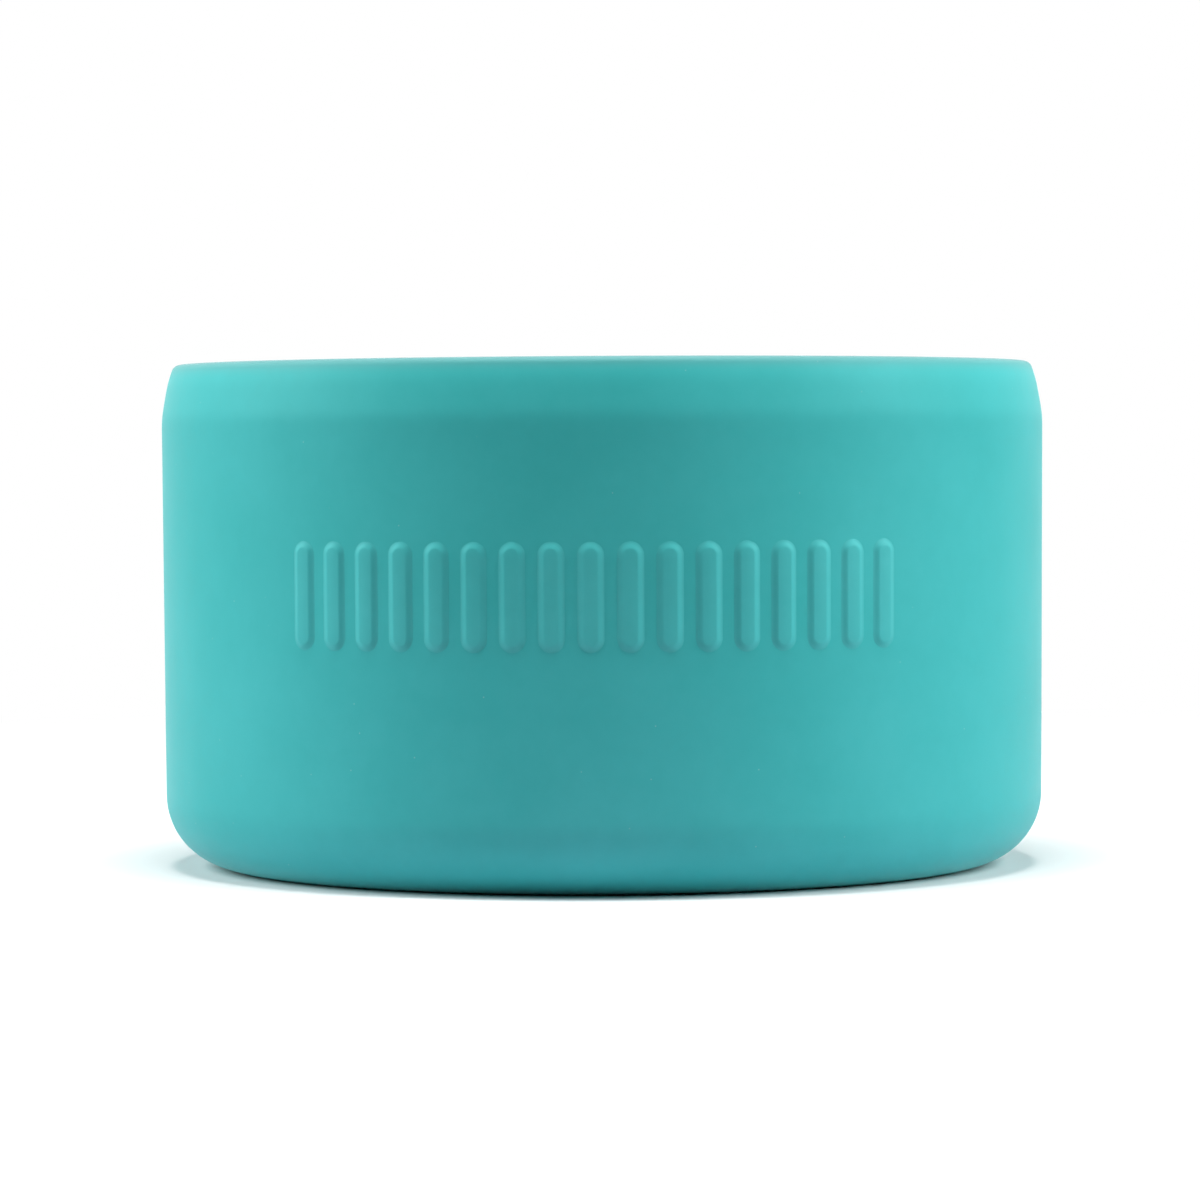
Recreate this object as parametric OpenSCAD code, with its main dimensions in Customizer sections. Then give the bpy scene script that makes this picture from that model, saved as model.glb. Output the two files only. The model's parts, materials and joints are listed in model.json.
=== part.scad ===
// Protective boot for an insulated drinking bottle: one soft, open-topped moulding that is
// stretched onto the bottle's base. Millimetres, +Z up. The origin is on the surface that the
// boot stands on, under the middle of its bore. The front, with the grip ribs, faces -Y.

/* [Bottle] */
// Diameter of the bottle that the boot is made for
bottle_d = 91; // [75:0.1:110]
// How much smaller the relaxed bore is than the bottle, on the diameter
stretch = 1; // [0:0.1:2]

/* [Wall] */
// Height of the boot
boot_h = 54.5; // [40:0.5:80]
// Thickness of the wall at its widest place, just under the shoulder
wall_t = 3; // [2.6:0.1:4]
// How much thinner the wall is at the heel than under the shoulder
wall_draft = 0.2; // [0:0.05:0.6]
// Height of the shoulder, where the wall leans in towards the lip
shoulder_h = 7; // [4:0.5:8]
// Radius of the curve by which the shoulder leans in
shoulder_r = 18.5; // [14:0.5:40]

/* [Base] */
// Radius of the rounded heel, outside
heel_r = 7.8; // [5:0.1:9.5]
// Radius of the corner between bore and floor, inside
corner_r = 5; // [3:0.5:8]
// Thickness of the floor over the foot ring
floor_t = 3.2; // [2.4:0.1:5]
// Width of the flat foot ring that the boot stands on
foot_w = 6.5; // [4:0.5:12]
// Radius of the foot ring's inner edge
foot_edge_r = 0.5; // [0.3:0.1:0.9]
// Depth of the recess inside the foot ring
recess_h = 1; // [0.9:0.1:1.6]

/* [Air grooves] */
// Number of grooves that let air out of the bore as the bottle goes in
groove_count = 6; // [3:1:12]
// Width of a groove at the bore's surface
groove_w = 2.4; // [1.6:0.1:3]
// Depth of a groove
groove_depth = 0.6; // [0.3:0.1:0.8]
// Height over the rounded corner at which a groove starts
groove_rise = 1; // [0.5:0.5:10]

/* [Floor rings] */
// Number of raised rings on the floor inside
ring_count = 3; // [1:1:4]
// Width of a ring
ring_w = 1.6; // [1:0.1:3]
// Height of a ring over the floor
ring_h = 0.6; // [0.3:0.1:1]
// Space between the outermost ring and the rounded corner, and about the middle
ring_margin = 2.5; // [1:0.5:6]

/* [Grip ribs] */
// Number of upright ribs on the front
rib_count = 17; // [5:2:25]
// Width of a rib
rib_w = 2.2; // [1.4:0.1:3]
// Length of a rib, upright
rib_l = 10.6; // [6:0.2:20]
// How far the middle of the ribs is below the start of the shoulder
rib_drop = 17.1; // [8:0.1:18]
// How far a rib stands proud of the wall
rib_proud = 0.25; // [0.2:0.05:1]
// Angle between neighbouring ribs, about the boot's axis, in degrees
rib_pitch = 4.75; // [4:0.25:8]

/* [Tread pads] */
// Number of pads in the outer row, twice the number in the inner row
pad_count = 18; // [12:2:24]
// Width of a pad
pad_w = 2.6; // [1.6:0.1:3.4]
// Length of a pad, along the radius
pad_l = 8.5; // [6:0.5:9]
// Space between the pads and the foot ring, and between the two rows
pad_gap = 2.2; // [1.5:0.1:3]

/* [Hidden] */
$fn = 96;

silicone = "#4cc4c2";

// Bore, and the outside radii that the wall's thickness and its draft give
bore_r = (bottle_d - stretch) / 2;
outer_r = bore_r + wall_t;
heel_side_r = outer_r - wall_draft;
heel_x = heel_side_r - heel_r;
shoulder_z = boot_h - shoulder_h;
shoulder_x = outer_r - shoulder_r;

// The lip is the circle that touches the shoulder's curve, the bore and the top. Its radius is
// the root of r^2 + lip_b r + lip_c = 0, taken up to a whole micron so that its faces meet the bore's
lip_dx = bore_r - shoulder_x;
lip_b = 2 * (lip_dx - shoulder_h + shoulder_r);
lip_c = lip_dx * lip_dx + shoulder_h * shoulder_h - shoulder_r * shoulder_r;
micron = 0.001;
lip_r = ceil((sqrt(lip_b * lip_b - 4 * lip_c) - lip_b) / 2 / micron) * micron;
lip_x = bore_r + lip_r;
lip_z = boot_h - lip_r;
// Height at which the shoulder's curve meets the lip's circle
lip_slope = atan2(lip_z - shoulder_z, lip_x - shoulder_x);
lip_start_z = lip_z + lip_r * sin(lip_slope);

bore_start_z = floor_t + corner_r;
foot_in_r = heel_x - foot_w;
rib_mid_z = shoulder_z - rib_drop;
past = 1; // how far a cutting shape runs past what it cuts

// Rows of tread pads, from the foot ring inwards
pad_outer_r = foot_in_r - pad_gap - pad_l;
pad_inner_r = pad_outer_r - pad_gap - pad_l;

// Floor rings share the flat of the floor evenly
ring_out_r = bore_r - corner_r - ring_margin;
ring_step = (ring_out_r - ring_margin) / ring_count;

// Radius of the drafted side at a height
function side_r(z) = outer_r - wall_draft * (shoulder_z - z) / (shoulder_z - heel_r);

// Half section of the whole outer shape, filled in to the axis
module outer_section() {
    translate([heel_x, heel_r]) circle(heel_r);
    intersection() {
        translate([shoulder_x, shoulder_z]) circle(shoulder_r);
        translate([0, shoulder_z]) square([outer_r + past, lip_start_z - shoulder_z]);
    }
    translate([lip_x, lip_z]) circle(lip_r);
    polygon([[0, 0], [heel_x, 0], [heel_side_r, heel_r], [outer_r, shoulder_z],
             [lip_x, lip_z], [lip_x, boot_h], [0, boot_h]]);
}

// Half section of the bore, with its rounded corner, open at the top
module bore_section() {
    translate([0, bore_start_z]) square([bore_r, boot_h - bore_start_z - lip_r]);
    translate([0, floor_t]) square([bore_r - corner_r, corner_r]);
    translate([bore_r - corner_r, bore_start_z]) circle(corner_r);
    difference() {
        translate([0, lip_z]) square([lip_x, lip_r + past]);
        translate([lip_x, lip_z]) circle(lip_r);
    }
}

// Half section of the recess under the floor, with the foot ring's inner edge rounded
module recess_section() {
    translate([0, -past]) square([foot_in_r, recess_h + past]);
    difference() {
        translate([foot_in_r - past, -past]) square([foot_edge_r + past, foot_edge_r + past]);
        translate([foot_in_r + foot_edge_r, foot_edge_r]) circle(foot_edge_r);
    }
}

// Upright groove in the bore, open at the lip: a round rod just behind the bore's surface
module air_groove() {
    rod_r = (groove_w * groove_w / 4 + groove_depth * groove_depth) / (2 * groove_depth);
    low = bore_start_z + groove_rise;
    translate([bore_r + groove_depth - rod_r, 0, low]) cylinder(r = rod_r, h = boot_h - low + past);
}

// The boot itself: wall, shoulder, lip, floor and foot ring in one moulding
module boot() {
    color(silicone) difference() {
        rotate_extrude() difference() {
            intersection() {
                outer_section();
                square([outer_r + past, boot_h]);
            }
            bore_section();
            recess_section();
        }
        for (i = [0 : groove_count - 1]) rotate((i + 0.5) * 360 / groove_count) air_groove();
    }
}

// Outline with two round ends, along Y, about the origin
module round_bar(w, l) {
    square([w, l - w], center = true);
    for (end = [-1, 1]) translate([0, end * (l - w) / 2]) circle(w / 2);
}

// Raised upright ribs on the front, their backs against the drafted side
module grip_ribs() {
    low = rib_mid_z - rib_l / 2 - past;
    high = rib_mid_z + rib_l / 2 + past;
    color(silicone) for (i = [0 : rib_count - 1]) intersection() {
        rotate_extrude() polygon([[side_r(low), low], [side_r(low) + rib_proud, low],
                                  [side_r(high) + rib_proud, high], [side_r(high), high]]);
        rotate((i - (rib_count - 1) / 2) * rib_pitch) translate([0, -outer_r / 2, rib_mid_z])
            rotate([90, 0, 0]) linear_extrude(outer_r) round_bar(rib_w, rib_l);
    }
}

// Low rings on the floor inside, that the bottle's base stands on
module floor_rings() {
    color(silicone) for (i = [0 : ring_count - 1]) translate([0, 0, floor_t])
        rotate_extrude() translate([ring_out_r - i * ring_step - ring_w, 0]) square([ring_w, ring_h]);
}

// One row of pads in the recess under the floor, level with the foot ring
module pad_row(inner_r, count) {
    for (i = [0 : count - 1]) rotate((i + 0.5) * 360 / count) translate([0, -inner_r - pad_l / 2, 0])
        linear_extrude(recess_h) round_bar(pad_w, pad_l);
}

module tread_pads() {
    color(silicone) {
        pad_row(pad_outer_r, pad_count);
        pad_row(pad_inner_r, pad_count / 2);
    }
}

boot();
grip_ribs();
floor_rings();
tread_pads();
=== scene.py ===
import json
import math
import bmesh
import bpy
import numpy as np
from mathutils import Matrix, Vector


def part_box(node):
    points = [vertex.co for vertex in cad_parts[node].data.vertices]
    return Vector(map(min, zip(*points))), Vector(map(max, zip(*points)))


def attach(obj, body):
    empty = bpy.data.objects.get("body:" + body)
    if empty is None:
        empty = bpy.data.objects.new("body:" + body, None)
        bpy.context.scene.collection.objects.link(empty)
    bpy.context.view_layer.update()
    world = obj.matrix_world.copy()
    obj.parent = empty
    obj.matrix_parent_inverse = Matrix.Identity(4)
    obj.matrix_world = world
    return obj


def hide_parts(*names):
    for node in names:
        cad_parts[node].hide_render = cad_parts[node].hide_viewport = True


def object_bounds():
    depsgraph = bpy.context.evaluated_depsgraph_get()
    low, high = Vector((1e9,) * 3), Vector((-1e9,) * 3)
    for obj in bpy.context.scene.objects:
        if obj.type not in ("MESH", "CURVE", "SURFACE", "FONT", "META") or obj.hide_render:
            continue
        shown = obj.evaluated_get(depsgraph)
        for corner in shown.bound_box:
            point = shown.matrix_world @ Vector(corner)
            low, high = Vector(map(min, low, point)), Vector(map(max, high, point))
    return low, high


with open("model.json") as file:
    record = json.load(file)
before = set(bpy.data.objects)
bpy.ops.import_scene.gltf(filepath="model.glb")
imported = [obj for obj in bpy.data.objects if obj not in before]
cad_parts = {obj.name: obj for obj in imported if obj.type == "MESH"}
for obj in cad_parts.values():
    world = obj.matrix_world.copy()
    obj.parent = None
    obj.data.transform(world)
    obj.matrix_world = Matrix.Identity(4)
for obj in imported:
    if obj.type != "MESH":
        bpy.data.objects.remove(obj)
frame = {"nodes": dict(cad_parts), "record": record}        # a row with no joints: its one body is "root"
cadBox = [list(corner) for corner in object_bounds()]
mm = 0.001
weldGap = 1e-7           # points closer than this are one point
print("frame loaded, nodes:", ", ".join(sorted(frame["nodes"])))

bootLow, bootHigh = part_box("boot")
ribLow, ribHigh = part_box("grip_ribs")
ringLow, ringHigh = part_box("floor_rings")
padLow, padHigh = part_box("tread_pads")
socket = next(m for m in frame["record"]["mounts"] if m["name"] == "bottle_socket")


def arc(middle, radius, start, end, steps):
    # points on a circle: middle plus radius times the cosine and sine of an angle in degrees
    turn = np.radians(np.linspace(start, end, steps + 1))
    return np.stack([middle[0] + radius * np.cos(turn), middle[1] + radius * np.sin(turn)], 1)


def line(start, end, steps):
    # evenly spaced points from start to end
    share = np.linspace(0, 1, steps + 1)[:, None]
    return np.array(start) * (1 - share) + np.array(end) * share


def chain(*stretches):
    # stretches of points end to end, the point they share kept once
    points = np.concatenate(stretches)
    apart = np.linalg.norm(np.diff(points, axis=0), axis=1) > weldGap
    return points[np.concatenate([[True], apart])]


def smoothStep(value, low, high):
    # 0 below low, 1 above high, and 3t^2 - 2t^3 between
    t = np.clip((value - low) / (high - low), 0, 1)
    return t * t * (3 - 2 * t)


def addPiece(name, grids, node, material):
    # each grid is rows by columns of points, closed round its columns; rows that shrink to a point
    # or a line, and first and last rows that meet, are welded, so that every shell is closed
    corners, faces, base = [], [], 0
    for grid in grids:
        rows, columns = grid.shape[:2]
        index = base + np.arange(rows * columns).reshape(rows, columns)
        near, far = index[:-1], index[1:]
        faces.append(np.stack([near, np.roll(near, -1, 1), np.roll(far, -1, 1), far], -1).reshape(-1, 4))
        corners.append(grid.reshape(-1, 3))
        base += rows * columns
    mesh = bpy.data.meshes.new(name)
    mesh.from_pydata(np.concatenate(corners).tolist(), [], np.concatenate(faces).tolist())
    work = bmesh.new()
    work.from_mesh(mesh)
    bmesh.ops.remove_doubles(work, verts=work.verts, dist=weldGap)
    bmesh.ops.dissolve_degenerate(work, edges=work.edges, dist=weldGap / 10)
    bmesh.ops.recalc_face_normals(work, faces=work.faces)
    work.to_mesh(mesh)
    work.free()
    mesh.polygons.foreach_set("use_smooth", np.ones(len(mesh.polygons), bool))
    mesh.materials.append(material)
    piece = bpy.data.objects.new(name, mesh)
    bpy.context.scene.collection.objects.link(piece)
    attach(piece, "root")
    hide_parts(node)
    print(f"{name}: {len(mesh.polygons)} faces")


def linear(hexColour):
    # an sRGB hex colour as linear light: below 0.04045 it is divided by 12.92, above that it is raised
    # to 2.4 after its own offset and scale; the last number is full opacity
    parts = [int(hexColour[i:i + 2], 16) / 255 for i in (1, 3, 5)]
    return [p / 12.92 if p <= 0.04045 else ((p + 0.055) / 1.055) ** 2.4 for p in parts] + [1.0]


def addNode(tree, kind, settings=None, **inputs):
    # a node with its settings; an input is a value or a link, named as on the node with _ for a space
    made = tree.nodes.new(kind)
    for name, value in (settings or {}).items():
        setattr(made, name, value)
    for name, value in inputs.items():
        wanted = int(name[1:]) if name[0] == "_" else name.replace("_", " ")
        if isinstance(value, bpy.types.NodeSocket):
            tree.links.new(value, made.inputs[wanted])
        else:
            made.inputs[wanted].default_value = value
    return made


def newMaterial(name):
    # a material with an empty tree to fill
    material = bpy.data.materials.new(name)
    material.use_nodes = True
    material.node_tree.nodes.clear()
    return material, material.node_tree


# Moulded silicone rubber, straight from a blasted steel mould: even colour all through, a dull satin
# skin with no clear reflections, a pale bloom at grazing angles, a lip top painted greyer and darker as
# shade, and a few specks of lint that cling to it
silicone = {
    "colour": "#40bdbc",
    "cloudColour": "#48c3c3",      # pigment clouds, a hair paler
    "cloudRange": (0.45, 0.95),    # noise values at which the plain colour ends and the clouds' is full
    "cloudSize": 14 * mm,
    "pigmentSize": 1.6 * mm,
    "pigmentShare": 0.35,          # of the fine pigment noise in the clouds
    "lintColour": "#a9dcda",
    "lintSpacing": 2.6 * mm,
    "lintRadius": 0.11 * mm,
    "lintCore": 0.3,               # share of a speck's radius within which it is at its full strength
    "lintStrength": 0.4,
    "paintedLipShadeColour": "#74a4a4",        # painted shade: the lip's top is coloured greyer and darker, toning down the light from above
    "paintedLipShadeBand": 2.0 * mm,
    "paintedLipShadeFade": 2.5,                # power by which the painted shade dies away below the lip's top
    "grainSize": 0.34 * mm,        # the real blasted grain is about 0.05 mm, too fine to show
    "grainHeight": 0.004 * mm,
    "waveSize": 11 * mm,           # the soft wall is never quite true
    "waveHeight": 0.05 * mm,
    "roughness": (0.46, 0.58),
    "ior": 1.41,
    "specular": 0.18,
    "bloom": 0.14,
    "bloomRoughness": 0.3,
    "glowShare": 0.15,             # light that goes in and comes out again close by
    "glowDepth": 1.2 * mm,
}


def siliconeMaterial(name, look):
    # clouds, then lint, then the painted shade on the lip's top are mixed over the plain colour; the
    # roughness follows the pigment, and the slow wave of the wall and the fine grain of the mould are bumps
    material, tree = newMaterial(name)
    place = addNode(tree, "ShaderNodeTexCoord").outputs["Object"]
    clouds = addNode(tree, "ShaderNodeTexNoise", Vector=place, Scale=1 / look["cloudSize"], Detail=2.0)
    pigment = addNode(tree, "ShaderNodeTexNoise", Vector=place, Scale=1 / look["pigmentSize"], Detail=3.0)
    both = addNode(tree, "ShaderNodeMath", {"operation": "MULTIPLY_ADD"},
                   _0=pigment.outputs[0], _1=look["pigmentShare"], _2=clouds.outputs[0])
    share = addNode(tree, "ShaderNodeMapRange", Value=both.outputs[0],
                    From_Min=look["cloudRange"][0], From_Max=look["cloudRange"][1])
    body = addNode(tree, "ShaderNodeMix", {"data_type": "RGBA"}, _0=share.outputs[0],
                   _6=linear(look["colour"]), _7=linear(look["cloudColour"]))
    cells = addNode(tree, "ShaderNodeTexVoronoi", Vector=place, Scale=1 / look["lintSpacing"])
    reach = look["lintRadius"] / look["lintSpacing"]
    speck = addNode(tree, "ShaderNodeMapRange", {"interpolation_type": "SMOOTHSTEP"},
                    Value=cells.outputs["Distance"], From_Min=reach, From_Max=reach * look["lintCore"])
    faint = addNode(tree, "ShaderNodeMath", {"operation": "MULTIPLY"},
                    _0=speck.outputs[0], _1=look["lintStrength"])
    colour = addNode(tree, "ShaderNodeMix", {"data_type": "RGBA"}, _0=faint.outputs[0],
                     _6=body.outputs[2], _7=linear(look["lintColour"]))
    up = addNode(tree, "ShaderNodeSeparateXYZ", _0=place)
    lipTop = cadBox[1][2]
    # painted shade: near the lip's top the colour turns greyer and darker, toning down the light from above
    lip = addNode(tree, "ShaderNodeMapRange", Value=up.outputs["Z"],
                  From_Min=lipTop - look["paintedLipShadeBand"], From_Max=lipTop)
    paintedLipShade = addNode(tree, "ShaderNodeMath", {"operation": "POWER"}, _0=lip.outputs[0], _1=look["paintedLipShadeFade"])
    skinColour = addNode(tree, "ShaderNodeMix", {"data_type": "RGBA"}, _0=paintedLipShade.outputs[0],
                         _6=colour.outputs[2], _7=linear(look["paintedLipShadeColour"]))
    rough = addNode(tree, "ShaderNodeMapRange", Value=pigment.outputs[0],
                    To_Min=look["roughness"][0], To_Max=look["roughness"][1])
    wave = addNode(tree, "ShaderNodeTexNoise", Vector=place, Scale=1 / look["waveSize"], Detail=1.0)
    grain = addNode(tree, "ShaderNodeTexNoise", Vector=place, Scale=1 / look["grainSize"], Detail=2.0)
    soft = addNode(tree, "ShaderNodeBump", Height=wave.outputs[0], Distance=look["waveHeight"])
    fine = addNode(tree, "ShaderNodeBump", Height=grain.outputs[0], Distance=look["grainHeight"],
                   Normal=soft.outputs[0])
    skin = addNode(tree, "ShaderNodeBsdfPrincipled", Base_Color=skinColour.outputs[2], IOR=look["ior"],
                   Roughness=rough.outputs[0], Normal=fine.outputs[0],
                   Specular_IOR_Level=look["specular"], Sheen_Weight=look["bloom"],
                   Sheen_Roughness=look["bloomRoughness"], Subsurface_Weight=look["glowShare"],
                   Subsurface_Radius=(1.0, 1.0, 1.0), Subsurface_Scale=look["glowDepth"])
    addNode(tree, "ShaderNodeOutputMaterial", Surface=skin.outputs[0])
    return material


mouldedSilicone = siliconeMaterial("mouldedSilicone", silicone)
print("material ready")


boot = {
    "boreRadius": socket["dims"]["r_mm"] * mm,
    "outerRadius": (bootHigh.x - bootLow.x) / 2,
    "height": bootHigh.z - bootLow.z,
    "floor": ringLow.z,            # top of the floor inside
    "recess": padHigh.z,           # roof of the recess underneath
    "draft": 0.2 * mm,
    "shoulder": 7 * mm,
    "shoulderCurve": 18.5 * mm,
    "lean": math.radians(8),       # lean that sets in at the foot of the shoulder
    "leanGrowth": math.radians(5),
    "leanFrom": 0.36,              # shares of the shoulder's height between which only the growth counts
    "leanTo": 0.6,
    "heel": 7.8 * mm,
    "corner": 5 * mm,
    "footWidth": 6.5 * mm,
    "footEdge": 0.5 * mm,
    "grooves": 6,
    "grooveWidth": 2.4 * mm,
    "grooveDepth": 0.6 * mm,
    "grooveRise": 1 * mm,
    "grooveFoot": 0.25 * mm,       # how sharply a groove runs out at its foot
    "grooveEdge": 0.12 * mm,       # how softly a groove meets the bore
    "columns": 240,                # evenly round the boot, before the grooves get theirs
    "fineColumns": 21,             # at each groove
    "fineSpan": 2.4,               # degrees to either side of a groove that they take up
}
shoulderZ = boot["height"] - boot["shoulder"]
heelSide = boot["outerRadius"] - boot["draft"]
footIn = heelSide - boot["heel"] - boot["footWidth"]


def sideRadius(z):
    # the drafted side is a straight line from the heel's top out to the shoulder's start
    return boot["outerRadius"] - boot["draft"] * (shoulderZ - z) / (shoulderZ - boot["heel"])


def lipCircle():
    # the circle that touches the shoulder's curve from inside, the bore and the top
    inwards = boot["boreRadius"] - boot["outerRadius"] + boot["shoulderCurve"]
    b = 2 * (inwards - boot["shoulder"] + boot["shoulderCurve"])
    c = inwards ** 2 + boot["shoulder"] ** 2 - boot["shoulderCurve"] ** 2
    return (math.sqrt(b * b - 4 * c) - b) / 2


def shoulderRun(start, end, endLean, steps):
    # by share of the shoulder's height the lean sets in quickly, grows evenly, and then faster into the
    # lip; the way in is the running sum of the leans' tangents, scaled so that it ends on the lip
    share = np.linspace(0, 1, steps + 1)
    lean = boot["lean"] * smoothStep(share, 0, boot["leanFrom"]) + boot["leanGrowth"] * share
    lean += (endLean - boot["lean"] - boot["leanGrowth"]) * smoothStep(share, boot["leanTo"], 1)
    slope = np.tan(lean)
    way = np.concatenate([[0], np.cumsum(slope[1:] + slope[:-1])])
    radius = start[0] + (end[0] - start[0]) * way / way[-1]
    return np.stack([radius, start[1] + (end[1] - start[1]) * share], 1)


def bootSection():
    # half section from the middle of the floor, out, up the bore, over the lip and down to the base;
    # the wall's lean where it meets the lip is the angle from the shoulder's centre to the lip's
    lip = lipCircle()
    lipMiddle = (boot["boreRadius"] + lip, boot["height"] - lip)
    curveMiddle = (boot["outerRadius"] - boot["shoulderCurve"], shoulderZ)
    lean = math.degrees(math.atan2(lipMiddle[1] - curveMiddle[1], lipMiddle[0] - curveMiddle[0]))
    lipOutside = arc(lipMiddle, lip, 90, lean, 10)
    shoulder = shoulderRun((boot["outerRadius"], shoulderZ), lipOutside[-1], math.radians(lean), 26)
    cornerMiddle = (boot["boreRadius"] - boot["corner"], boot["floor"] + boot["corner"])
    heelMiddle = (heelSide - boot["heel"], boot["heel"])
    edge = boot["footEdge"]
    inside = chain(line((0, boot["floor"]), (cornerMiddle[0], boot["floor"]), 14),
                   arc(cornerMiddle, boot["corner"], -90, 0, 12),
                   line((boot["boreRadius"], cornerMiddle[1]), (boot["boreRadius"], lipMiddle[1]), 46),
                   arc(lipMiddle, lip, 180, 90, 10))
    outside = chain(lipOutside,
                    shoulder[::-1],
                    line((boot["outerRadius"], shoulderZ), (heelSide, boot["heel"]), 24),
                    arc(heelMiddle, boot["heel"], 0, -90, 20),
                    line((heelMiddle[0], 0), (footIn + edge, 0), 4),
                    arc((footIn + edge, edge), edge, -90, -180, 6),
                    line((footIn, edge), (footIn, boot["recess"]), 2),
                    line((footIn, boot["recess"]), (0, boot["recess"]), 14))
    return inside, outside


def bootGrid():
    # the section turned about the axis; on the bore and the lip's inner half the radius is a soft
    # maximum of the section's and the groove's, where the groove is a round rod behind the bore:
    # half of a + b + the root of (a - b)^2 + edge^2
    inside, outside = bootSection()
    step = 360 / boot["grooves"]
    even = np.linspace(0, step, boot["columns"] // boot["grooves"], endpoint=False)
    fine = step / 2 + np.linspace(-boot["fineSpan"], boot["fineSpan"], boot["fineColumns"])
    sector = np.concatenate([even[np.abs(even - step / 2) > boot["fineSpan"]], fine])
    turn = np.radians(np.sort(np.concatenate([sector + step * i for i in range(boot["grooves"])])))
    radius = np.repeat(inside[:, :1], len(turn), 1)
    z = inside[:, 1:]
    rod = (boot["grooveWidth"] ** 2 / 4 + boot["grooveDepth"] ** 2) / (2 * boot["grooveDepth"])
    offset = (np.degrees(turn) % step) - step / 2
    across = np.minimum(np.abs(np.radians(offset)) * boot["boreRadius"], rod)
    reach = boot["boreRadius"] + boot["grooveDepth"] - rod + np.sqrt(rod ** 2 - across ** 2)
    start = boot["floor"] + boot["corner"] + boot["grooveRise"]
    closing = np.maximum(start - z, 0) ** 2 / boot["grooveFoot"]
    cut = reach[None, :] - closing - boot["boreRadius"]
    bulge = radius - boot["boreRadius"]
    grooved = boot["boreRadius"] + (bulge + cut + np.sqrt((bulge - cut) ** 2 + boot["grooveEdge"] ** 2)) / 2
    farBelow, farBehind = 3 * mm, 1 * mm       # past these the plain bore is kept
    radius = np.where((z > start - farBelow) & (cut > -farBehind), grooved, radius)
    radius = np.concatenate([radius, np.repeat(outside[1:, :1], len(turn), 1)])
    z = np.concatenate([inside[:, 1], outside[1:, 1]])[:, None] + 0 * turn
    return np.stack([radius * np.cos(turn), radius * np.sin(turn), z], -1)


addPiece("bootMoulding", [bootGrid()], "boot", mouldedSilicone)


def barGrid(width, length, section):
    # a section of (distance in from the outline, height) carried round a bar with two round ends:
    # each point is the bar's spine plus half the width less the distance, along the way outwards
    ends, sides = 18, 22
    up = np.radians(np.linspace(0, 180, ends + 1))
    down = np.radians(np.linspace(180, 360, ends + 1))
    spineTop = (length - width) / 2
    spine = np.concatenate([np.full(ends + 1, spineTop), np.linspace(spineTop, -spineTop, sides + 1)[1:-1],
                            np.full(ends + 1, -spineTop), np.linspace(-spineTop, spineTop, sides + 1)[1:-1]])
    way = np.concatenate([up, np.full(sides - 1, math.pi), down, np.zeros(sides - 1)])
    out = width / 2 - section[:, :1]
    return np.stack([out * np.cos(way), spine + out * np.sin(way), section[:, 1:] + 0 * way], -1)


gripRibs = {
    "count": 17,
    "pitch": math.radians(4.75),
    "width": 2.2 * mm,
    "length": ribHigh.z - ribLow.z,
    "middle": (ribHigh.z + ribLow.z) / 2,
    "proud": 0.25 * mm,
    "flare": 0.3 * mm,             # how far the moulded fillet runs out over the wall
    "edge": 0.5 * mm,              # how far the round edge reaches in over the rib
    "root": 0.3 * mm,              # hidden in the wall
    "under": 0.01 * mm,            # how far the fillet's outermost row dips below the wall
    "crown": 0.02 * mm,
    "edgeRows": 12,
    # paler, from a finer, duller part of the mould
    "skin": {"colour": "#49bfbf", "cloudColour": "#50c5c5"},
}


def ribGrids():
    # height over the wall is a smooth step across the outline, with a slight crown along the middle;
    # the bar's width goes round the wall as an angle, and its length goes up it
    g = gripRibs
    half = g["width"] / 2
    across = np.concatenate([[half, half * 0.75], np.linspace(g["edge"], -g["flare"], g["edgeRows"])])
    height = g["proud"] * smoothStep(across, -g["flare"], g["edge"]) - g["under"] * (across <= -g["flare"])
    height[0] += g["crown"]
    section = np.concatenate([np.stack([across, height], 1), [[-g["flare"], -g["root"]], [half, -g["root"]]]])
    bar = barGrid(g["width"], g["length"], section)
    z = g["middle"] + bar[..., 1]
    radius = sideRadius(z) + bar[..., 2]
    grids = []
    for i in range(g["count"]):
        turn = -math.pi / 2 + (i - (g["count"] - 1) / 2) * g["pitch"] + bar[..., 0] / radius
        grids.append(np.stack([radius * np.cos(turn), radius * np.sin(turn), z], -1))
    return grids


ribSilicone = siliconeMaterial("mouldedSiliconeDull", {**silicone, **gripRibs["skin"]})
addPiece("gripRibs", ribGrids(), "grip_ribs", ribSilicone)

floorRings = {
    "count": 3,
    "width": 1.6 * mm,
    "height": ringHigh.z - ringLow.z,
    "outer": ringHigh.x,
    "margin": 2.5 * mm,
    "squareness": 4,               # power of the curve across a ring's top
    "root": 0.3 * mm,
    "columns": 180,
    "rows": 15,
}


def ringGrids():
    # a low bead turned about the axis, its root in the floor; across it the height falls from the
    # middle by the fourth power of the share of the half width
    g = floorRings
    turn = np.linspace(0, 2 * math.pi, g["columns"], endpoint=False)
    across = np.linspace(0, g["width"], g["rows"])
    rise = g["height"] * (1 - np.abs(2 * across / g["width"] - 1) ** g["squareness"])
    bead = np.concatenate([np.stack([across, rise], 1), [[g["width"], -g["root"]], [0, -g["root"]], [0, 0]]])
    step = (g["outer"] - g["margin"]) / g["count"]
    grids = []
    for i in range(g["count"]):
        radius = (g["outer"] - g["width"] - i * step + bead[:, :1]) + 0 * turn
        z = ringLow.z + bead[:, 1:] + 0 * turn
        grids.append(np.stack([radius * np.cos(turn), radius * np.sin(turn), z], -1))
    return grids


addPiece("floorRings", ringGrids(), "floor_rings", mouldedSilicone)

treadPads = {
    "outerCount": 18,
    "width": 2.6 * mm,
    "length": 8.5 * mm,
    "gap": 2.2 * mm,
    "height": padHigh.z - padLow.z,
    "edge": 0.3 * mm,
    "root": 0.3 * mm,
}


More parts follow.
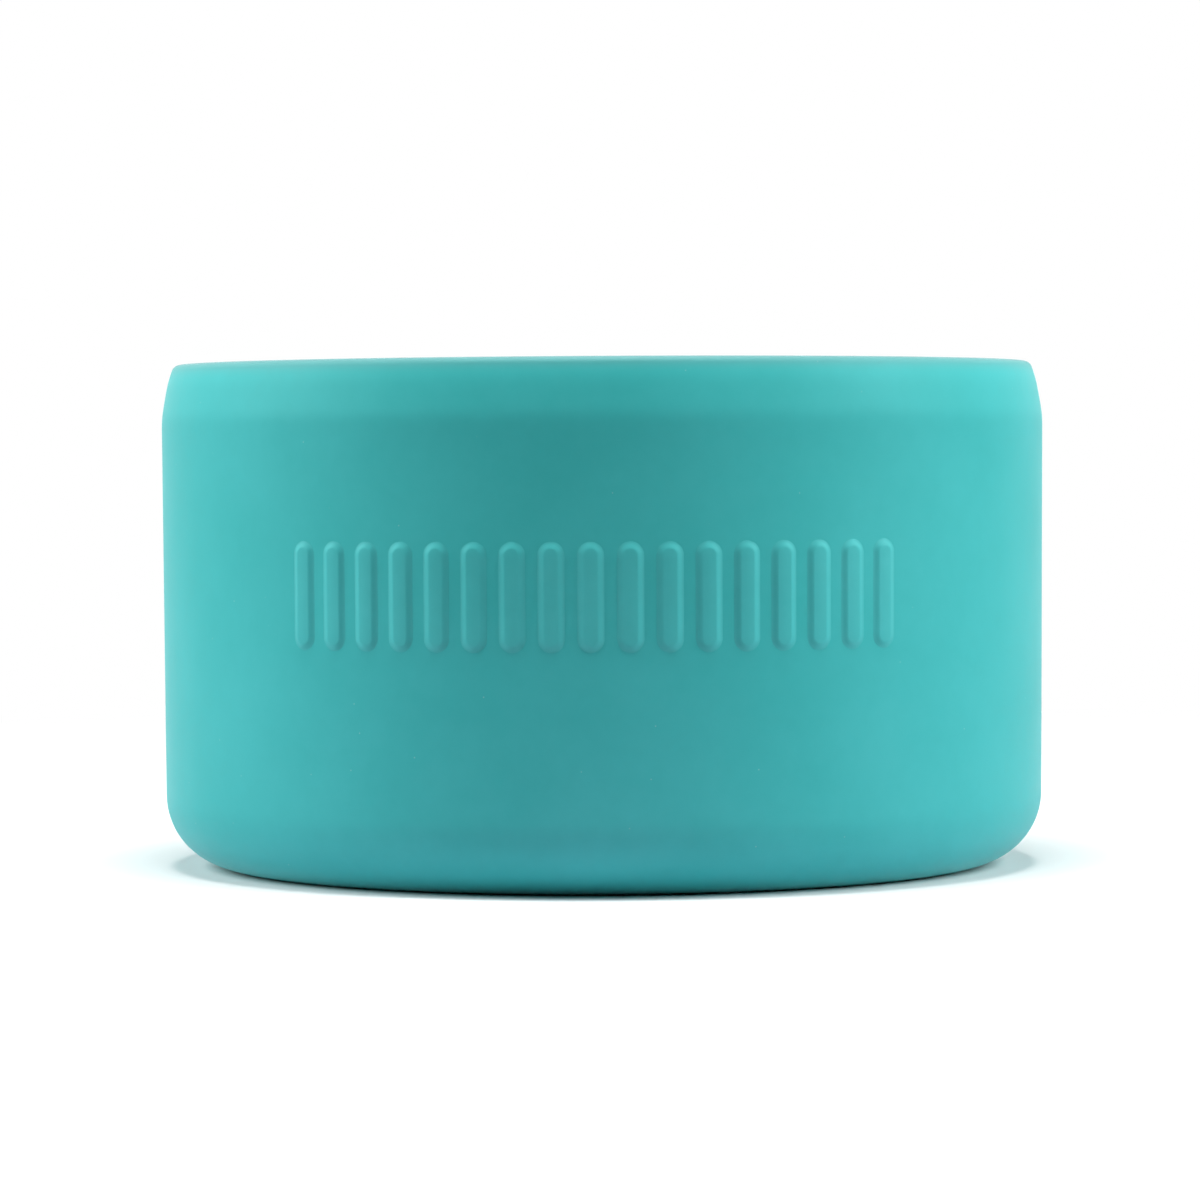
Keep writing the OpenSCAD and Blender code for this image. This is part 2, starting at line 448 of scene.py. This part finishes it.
def padGrids():
    # bars with rounded lower edges, their roots in the roof of the recess; each is laid along the
    # radius and turned about the axis
    g = treadPads
    half = g["width"] / 2
    top = g["height"] + g["root"]
    roundEdge = arc((g["edge"], g["edge"]), g["edge"], 270, 180, 5)
    section = np.concatenate([[[half, 0], [half / 2, 0]], roundEdge, [[0, top], [half, top]]])
    bar = barGrid(g["width"], g["length"], section)
    grids = []
    for row, count in enumerate((g["outerCount"], g["outerCount"] // 2)):
        middle = footIn - (row + 1) * (g["gap"] + g["length"]) + g["length"] / 2
        for i in range(count):
            turn = math.radians((i + 0.5) * 360 / count - 90)
            x, y = middle + bar[..., 1], bar[..., 0]
            grids.append(np.stack([x * math.cos(turn) - y * math.sin(turn),
                                   x * math.sin(turn) + y * math.cos(turn), bar[..., 2] + padLow.z], -1))
    return grids


addPiece("treadPads", padGrids(), "tread_pads", mouldedSilicone)


studio = {
    "floorRadius": 3.0,
    "floorCorners": 96,
    "floorDrop": 0.02 * mm,        # so that the foot and the floor don't share a plane
    "floorColour": "#f4f4f4",
    # tone of the light that the floor throws back on the boot, by radius: it falls off away from the foot
    "bounce": {0.041: "#ffffff", 0.047: "#dadce5", 0.056: "#bd9eaa", 0.075: "#d5b2be", 0.110: "#5a7878"},
    "fadeStart": 0.10,             # the floor turns to the backdrop's plain white between these radii
    "fadeEnd": 0.30,
}


def seenDirectly(tree):
    # 1 for rays that see a surface from the camera, in a reflection or through glass
    path = addNode(tree, "ShaderNodeLightPath").outputs
    either = addNode(tree, "ShaderNodeMath", {"operation": "MAXIMUM"},
                     _0=path["Is Camera Ray"], _1=path["Is Glossy Ray"])
    return addNode(tree, "ShaderNodeMath", {"operation": "MAXIMUM"},
                   _0=either.outputs[0], _1=path["Is Transmission Ray"]).outputs[0]


def paperFloor():
    # matt white paper: it takes the shadow near the boot and fades to plain white away from it, and
    # what it throws back on the boot has a tone of its own
    material, tree = newMaterial("whitePaper")
    place = addNode(tree, "ShaderNodeTexCoord").outputs["Object"]
    away = addNode(tree, "ShaderNodeVectorMath", {"operation": "LENGTH"}, _0=place)
    fade = addNode(tree, "ShaderNodeMapRange", {"interpolation_type": "SMOOTHSTEP"},
                   Value=away.outputs["Value"],
                   From_Min=studio["fadeStart"], From_Max=studio["fadeEnd"])
    paper = addNode(tree, "ShaderNodeBsdfDiffuse", Color=linear(studio["floorColour"]))
    reach = max(studio["bounce"])
    near = addNode(tree, "ShaderNodeMapRange", Value=away.outputs["Value"], From_Max=reach)
    tone = addNode(tree, "ShaderNodeValToRGB", Fac=near.outputs[0])
    for radius, colour in studio["bounce"].items():
        tone.color_ramp.elements.new(radius / reach).color = linear(colour)
    tone.color_ramp.elements.remove(tone.color_ramp.elements[0])
    bounce = addNode(tree, "ShaderNodeBsdfDiffuse", Color=tone.outputs[0])
    white = addNode(tree, "ShaderNodeEmission", Strength=1.0)
    shown = addNode(tree, "ShaderNodeMixShader", _0=fade.outputs[0], _1=paper.outputs[0], _2=white.outputs[0])
    final = addNode(tree, "ShaderNodeMixShader", _0=seenDirectly(tree), _1=bounce.outputs[0],
                    _2=shown.outputs[0])
    addNode(tree, "ShaderNodeOutputMaterial", Surface=final.outputs[0])
    return material


def addFloor():
    # a flat disc just under the foot
    turn = np.linspace(0, 2 * math.pi, studio["floorCorners"], endpoint=False)
    low = cadBox[0][2] - studio["floorDrop"]
    rim = np.stack([np.cos(turn), np.sin(turn)], 1) * studio["floorRadius"]
    mesh = bpy.data.meshes.new("paperFloor")
    mesh.from_pydata([(x, y, low) for x, y in rim], [], [list(range(len(rim)))])
    mesh.materials.append(paperFloor())
    floor = bpy.data.objects.new("paperFloor", mesh)
    bpy.context.scene.collection.objects.link(floor)


def addWorld():
    # a white room that is seen and mirrored but gives no light of its own
    world = bpy.data.worlds.new("whiteRoom")
    bpy.context.scene.world = world
    world.use_nodes = True
    tree = world.node_tree
    tree.nodes.clear()
    room = addNode(tree, "ShaderNodeBackground", Color=linear("#ffffff"), Strength=seenDirectly(tree))
    addNode(tree, "ShaderNodeOutputWorld", Surface=room.outputs[0])


# Softboxes stand high at both sides, and one hangs overhead, a little in front: place, side and watts
softboxes = {
    "leftBox": ((-0.66, -0.02, 0.42), 0.55, 5.6),
    "rightBox": ((0.65, -0.10, 0.42), 0.55, 5.6),
    "topBox": ((0.0, -0.10, 0.85), 0.35, 5.9),
}


def addSoftbox(name, place, side, watts):
    # a square lamp, turned so that its face looks at the middle of the boot
    light = bpy.data.lights.new(name, "AREA")
    light.shape = "SQUARE"
    light.size = side
    light.energy = watts
    box = bpy.data.objects.new(name, light)
    bpy.context.scene.collection.objects.link(box)
    box.location = place
    aim = np.array([0, 0, boot["height"] / 2]) - np.array(place)
    tip = math.acos(-aim[2] / np.linalg.norm(aim))
    box.rotation_euler = (tip, 0, math.atan2(aim[1], aim[0]) - math.pi / 2)


view = {
    "distance": 0.528,             # metres from the boot's axis
    "height": 0.0454,
    "azimuth": math.radians(1.45),
    "pitch": math.radians(-1.82),
    "roll": math.radians(-0.3),
    "yaw": math.radians(0.035),
    "lens": 144.6,                 # in millimetres, as the sensor is
    "sensor": 36,
    "nearest": 0.01,
}


def addCamera():
    # the camera is tipped, rolled and turned a little where it stands, and then carried with its stand
    # round the boot's axis
    data = bpy.data.cameras.new("studioCamera")
    data.lens = view["lens"]
    data.sensor_width = view["sensor"]
    data.clip_start = view["nearest"]
    camera = bpy.data.objects.new("studioCamera", data)
    bpy.context.scene.collection.objects.link(camera)
    place = Matrix.Translation((0, -view["distance"], view["height"]))
    tilt = Matrix.Rotation(math.pi / 2 + view["pitch"], 4, "X") @ Matrix.Rotation(view["roll"], 4, "Z")
    yaw = Matrix.Rotation(view["yaw"], 4, "Z")
    camera.matrix_world = Matrix.Rotation(view["azimuth"], 4, "Z") @ place @ yaw @ tilt
    bpy.context.scene.camera = camera


addFloor()
addWorld()
for name, (place, side, watts) in softboxes.items():
    addSoftbox(name, place, side, watts)
addCamera()
bpy.context.scene.view_settings.view_transform = "Standard"
print("floor, light and camera ready")
